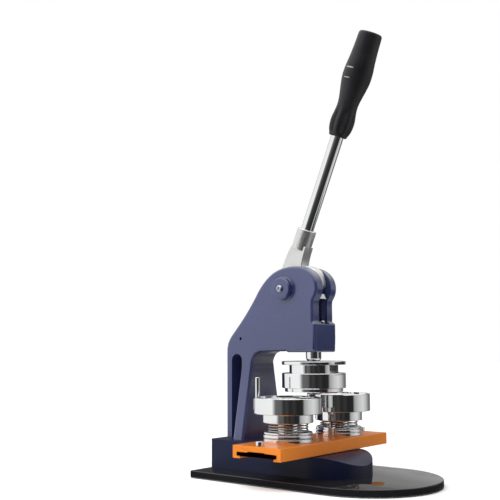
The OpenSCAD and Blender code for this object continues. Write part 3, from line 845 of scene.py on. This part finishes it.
def lever_casting():
    o = [(-17.6, -5.9)] + [involute(CAM_END * i / 32) for i in range(33)]
    o += [(43.6 * math.cos(math.radians(a)), 43.6 * math.sin(math.radians(a))) for a in np.arange(172.5, 159.9, -2.5)]
    o += smooth([(-41, 14.9), (-38.4, 20), (-34.4, 24), (-29, 26.8), (-23.5, 28.0), lev(-6.6, 28.2)], 4)[:-1]
    o += [lev(*q) for q in smooth([(-6.6, 28.2), (-5.2, 31.5), (-4.2, 35.5), (-3.3, 40), (-2.7, 45), (-2.4, 51), (-2.3, 57)], 4)]
    o += [lev(*q) for q in smooth([(17.6, 57), (20.4, 50), (22, 40), (22.9, 28), (22.8, 16), (20.6, 3), (17, -8.8)], 4)]
    o += [(19.2 * math.cos(math.radians(a)), 19.2 * math.sin(math.radians(a))) for a in range(-8, -160, -6)]
    o = [(y + PIVOT[1], z + PIVOT[2]) for y, z in o]
    body = prism("lever_arm", o, -8.25, 8.25, 0.9, 0.9, axis="x", n=4)
    sock = fillet([(0, 50.5), (12, 50.5), (12, 77.2), (8.6, 77.2), (8.1, 76.6), (8.03, 53), (0, 53)], [0, 1.0, 1.1, 0.4, 0.2, 0, 0], 4, closed=False)
    s = lathe("s", [(0, 50.5)] + [q for q in fillet([(0, 50.5), (12, 50.5), (12, 77.2), (0, 77.2)], [0, 1.0, 1.1, 0], 5, closed=False)][1:], 96, matrix=ROD)
    boolean(body, s, "UNION")
    boolean(body, lathe("c", [(0, 53), (8.03, 53), (8.03, 76.4), (9.0, 78), (0, 78)], 64, matrix=ROD))
    boolean(body, lathe("c", [(0, -20), (8.03, -20), (8.03, 20), (0, 20)], 48, matrix=at(0, PIVOT[1], PIVOT[2], ry=90)))
    boolean(body, lathe("c", [(0, 0), (3.05, 0), (3.05, 20), (0, 20)], 32, matrix=ROD @ at(0, 0, 66, rx=-90)))
    return bevel(body, 0.35, 2, angle=45, shade_angle=40)


dress(lever_casting(), "lever", "lever_casting", "cast_silver")
rod = lathe("lever_shaft", fillet([(0, 53.2), (8, 53.2), (8, 304.2), (0, 304.2)], [0, 0.5, 0.8, 0], 3, closed=False), 96, matrix=ROD)
dress(rod, "lever", "lever_rod", "chrome", "chrome_rod")

GRIP_Z, GRIP_L = 198.5, 131.0


def grip():
    """moulded grip: a fluted lower bulb, a waist and a fuller middle"""
    side = [(0, 10.2), (0.5, 10.9), (1.4, 11.4)] + [(z, r) for r, z in smooth(
        [(11.9, 3), (14.0, 8), (15.1, 15), (15.1, 22), (13.9, 30), (12.8, 38), (13.2, 46), (15.0, 56), (16.9, 66), (17.9, 75), (17.6, 86), (16.3, 98), (15.3, 112), (14.8, 124)], 5)]
    zs = [q[0] for q in side] + [127.5, 129.2, 130.2, 130.8]
    rs = [q[1] for q in side] + [14.65, 14.4, 13.85, 13.1]
    zz = list(np.interp(np.linspace(0, 1, 150), np.linspace(0, 1, len(zs)), zs))
    zr = sorted(set([round(z, 3) for z in zz]))
    seg = 192
    verts, faces = [], []
    rings = [(0.0, 8.3)] + [(z, float(np.interp(z, zs, rs))) for z in zr]

    def sm(a, b, x):
        t = min(1, max(0, (x - a) / (b - a)))
        return t * t * (3 - 2 * t)

    for n, (z, r) in enumerate(rings):
        env = sm(1.0, 7.0, z) * (1 - sm(25, 40, z))
        for k in range(seg):
            a = 2 * math.pi * k / seg
            rr = r
            if n > 0 and env > 0:
                c = abs(math.cos(3.5 * a + 0.62))  # seven scallops
                rr = r - 2.3 * env * (1 - c) ** 0.9
            verts.append((rr * math.cos(a), rr * math.sin(a), z))
    m = len(rings)
    for r in range(m - 1):
        for k in range(seg):
            j = (k + 1) % seg
            faces.append((r * seg + k, r * seg + j, (r + 1) * seg + j, (r + 1) * seg + k))
    # hollow for the rod, and the closed upper end
    i0 = len(verts)
    for z in (0.0, 106.4):
        for k in range(seg):
            a = 2 * math.pi * k / seg
            verts.append((8.03 * math.cos(a), 8.03 * math.sin(a), z))
    for k in range(seg):
        j = (k + 1) % seg
        faces.append((k, j, i0 + j, i0 + k))
        faces.append((i0 + k, i0 + j, i0 + seg + j, i0 + seg + k))
    faces.append(tuple(i0 + seg + k for k in range(seg)))
    t0 = len(verts)
    for rr, z in ((12.0, 130.97), (6.0, 131.0)):
        for k in range(seg):
            a = 2 * math.pi * k / seg
            verts.append((rr * math.cos(a), rr * math.sin(a), z))
    for k in range(seg):
        j = (k + 1) % seg
        faces.append(((m - 1) * seg + k, (m - 1) * seg + j, t0 + j, t0 + k))
        faces.append((t0 + k, t0 + j, t0 + seg + j, t0 + seg + k))
    faces.append(tuple(t0 + seg + k for k in range(seg)))
    mt = ROD @ Matrix.Translation((0, 0, GRIP_Z))
    verts = [tuple(mt @ Vector(v)) for v in verts]
    return mesh("lever_grip_moulding", verts, faces, 40)


dress(grip(), "lever", "lever_grip", "grip_black")


def bar(name, zc, a0, a1, half, r):
    """a plain raised bar that follows the grip's round"""
    n, m = 20, 4
    verts, faces = [], []
    for k in range(n + 1):
        a = math.radians(a0 + (a1 - a0) * k / n)
        taper = min(1.0, 0.35 + 3 * min(k, n - k) / n)
        for rr, z in ((r - 0.6, zc - half * taper), (r + 0.16, zc - half * taper * 0.8), (r + 0.16, zc + half * taper * 0.8), (r - 0.6, zc + half * taper)):
            verts.append((rr * math.cos(a), rr * math.sin(a), GRIP_Z + z))
    for k in range(n):
        for i in range(m):
            j = (i + 1) % m
            faces.append((k * m + i, k * m + j, (k + 1) * m + j, (k + 1) * m + i))
    faces += [(0, 1, 2, 3), tuple(n * m + i for i in (3, 2, 1, 0))]
    return mesh(name, [tuple(ROD @ Vector(v)) for v in verts], faces, 40)


# the raised bars are real marks on the grip; their silver colour is painted highlight
for nm, zc, a0, a1, half, r in (("grip_bar_upper", 84.2, 152, 192, 1.0, 17.66), ("grip_bar_lower", 71.6, 158, 188, 0.85, 17.55)):
    dress(bar(nm, zc, a0, a1, half, r), "lever", None, "cast_silver", "bar_painted_highlight")
grub = hexhead("socket_grub", 3.0, 3.6, 1.5, 1.6, 0, 0, ROD @ at(0, 0, 66, rx=-90) @ Matrix.Translation((0, 0, 8.1)))
dress(grub, "lever", "lever_set_screw", "steel")

# ------------------------------------------------------------------ pivot

ps = [hexhead("p", 4.2, 2.8, 1.9, 1.6, 2.5, 13, at(0, PIVOT[1], PIVOT[2], ry=-90) @ Matrix.Translation((0, 0, 30.4)), dome=0.7),
      hexhead("p", 4.2, 2.8, 1.9, 1.6, 2.5, 13, at(0, PIVOT[1], PIVOT[2], ry=90) @ Matrix.Translation((0, 0, 31.9)), dome=0.7)]
dress(join("pivot_screws", ps), "frame", "pivot_pin_screws", "chrome", "steel")
wsh = lathe("pivot_ring", fillet([(2.7, 30.4), (9, 30.4), (9, 31.9), (2.7, 31.9)], [0.1, 0.2, 0.3, 0.2], 3), 64, closed=True, matrix=at(0, PIVOT[1], PIVOT[2], ry=90))
dress(wsh, "frame", "pivot_washer", "steel")

# ------------------------------------------------------------------ the CAD nodes that stay

SLOT = {s["node"]: s["material_slot"] for s in frame["record"]["subparts"]}
for name, ob in NODES.items():
    if ob.hide_render:
        continue
    s = SLOT[name]
    key = s
    if s == "chrome":
        key = "chrome_rod"
    ob.data.materials.clear()
    ob.data.materials.append(MAT[key])

# ------------------------------------------------------------------ floor and light


def emissive(name, col, strength):
    m = bpy.data.materials.new(name)
    m.use_nodes = True
    nt = m.node_tree
    nt.nodes.clear()
    o = nt.nodes.new("ShaderNodeOutputMaterial")
    e = nt.nodes.new("ShaderNodeEmission")
    e.inputs["Color"].default_value = (*col, 1)
    e.inputs["Strength"].default_value = strength
    nt.links.new(e.outputs[0], o.inputs[0])
    return m


floor_m, nt, b = material("pale_floor", (0.93, 0.93, 0.93), rough=0.8, spec=0.2)
nt.links.new(ramp(nt, noise(nt, coords(nt), 3, 2), [(0.3, (0.92, 0.92, 0.92)), (0.7, (0.94, 0.94, 0.94))]), b.inputs["Base Color"])
bm = bmesh.new()
bmesh.ops.create_circle(bm, cap_ends=True, segments=96, radius=7.0)
me = bpy.data.meshes.new("floor")
bm.to_mesh(me)
bm.free()
floor = link(me, "floor")
floor.location.z = -0.0001
floor.data.materials.append(floor_m)
floor.visible_glossy = False

world = bpy.data.worlds.new("studio")
scene.world = world
world.use_nodes = True
wn = world.node_tree
wn.nodes.clear()
wo = wn.nodes.new("ShaderNodeOutputWorld")
bg = wn.nodes.new("ShaderNodeBackground")
tc = wn.nodes.new("ShaderNodeTexCoord")
sep = wn.nodes.new("ShaderNodeSeparateXYZ")
wn.links.new(tc.outputs["Generated"], sep.inputs[0])
# heading of each direction, measured from the one that faces the camera's side of the room
ba, ra = (-0.7745, -0.6325), (0.6328, -0.7743)
c = math_node(wn, "ADD", math_node(wn, "MULTIPLY", sep.outputs[0], ba[0]), math_node(wn, "MULTIPLY", sep.outputs[1], ba[1]))
s = math_node(wn, "ADD", math_node(wn, "MULTIPLY", sep.outputs[0], ra[0]), math_node(wn, "MULTIPLY", sep.outputs[1], ra[1]))
ang = math_node(wn, "MULTIPLY_ADD", math_node(wn, "ARCTAN2", s, c), 1 / (2 * math.pi), 0.5)


def deg(a):
    return 0.5 + a / 360.0


STOPS = [(-180, 0.10), (-166, 0.12), (-152, 0.70), (-142, 0.95), (-58, 1.0), (-50, 0.42), (-45, 0.15), (-25, 0.12), (-18, 0.035), (-6, 0.05), (4, 0.022), (18, 0.038), (30, 0.018), (48, 0.026), (54, 0.38),
         (72, 0.62), (92, 0.76), (112, 0.54), (128, 0.24), (142, 0.15), (158, 0.35), (166, 0.48), (171.5, 0.42), (175, 0.09), (180, 0.09)]
walls = ramp(wn, ang, [(deg(a), v) for a, v in STOPS])


def blend(fac, a, b):
    mix = wn.nodes.new("ShaderNodeMix")
    mix.data_type = "RGBA"
    wn.links.new(fac, mix.inputs[0])
    for i, v in ((6, a), (7, b)):
        if isinstance(v, tuple):
            mix.inputs[i].default_value = (*v, 1)
        else:
            wn.links.new(v, mix.inputs[i])
    return mix.outputs[2]


z = sep.outputs[2]
room = blend(map_range(wn, z, 0.42, 0.62, 0.0, 1.0), walls, (1.42, 1.42, 1.42))
strip = math_node(wn, "MULTIPLY", map_range(wn, z, -0.23, -0.19, 0.0, 1.0), map_range(wn, z, -0.125, -0.108, 1.0, 0.0))
room = blend(strip, room, (0.045, 0.045, 0.048))
lp = wn.nodes.new("ShaderNodeLightPath")
room = blend(lp.outputs["Is Camera Ray"], room, (1.0, 1.0, 1.0))
wn.links.new(room, bg.inputs["Color"])
bg.inputs["Strength"].default_value = 1.0
wn.links.new(bg.outputs[0], wo.inputs[0])


def area(name, loc, target, size, power, color=(1, 1, 1)):
    l = bpy.data.lights.new(name, "AREA")
    l.shape, l.size, l.size_y, l.energy, l.color = "RECTANGLE", size[0], size[1], power, color
    o = bpy.data.objects.new(name, l)
    scene.collection.objects.link(o)
    o.location = loc
    o.rotation_mode = "QUATERNION"
    o.rotation_quaternion = (Vector(target) - Vector(loc)).to_track_quat("-Z", "Y")
    o.visible_camera = False
    return o


key = area("key_left", (-0.62, 0.42, 0.55), (0, 0.05, 0.2), (0.5, 0.55), 4.2)
key.visible_glossy = False
area("top", (-0.3, -0.2, 2.3), (0, 0, 0.1), (2.2, 2.2), 14)

# a dark studio flag to the right of the front shades the frame's front faces, above the dies' own reflections
flag_m, nt, b = material("flag_cloth", (0.04, 0.04, 0.042), rough=0.9, spec=0.1)
flag = prism("flag", [(-190, 118), (170, 118), (170, 216), (-190, 216)], -2, 2, axis="y")
flag.location = (0.235, -0.185, 0)
flag.rotation_euler = (0, 0, math.radians(55.2))
flag.data.materials.append(flag_m)
flag.visible_camera = False
flag.visible_shadow = False

scene.view_settings.view_transform = "Standard"
scene.view_settings.look = "None"

bpy.context.view_layer.update()
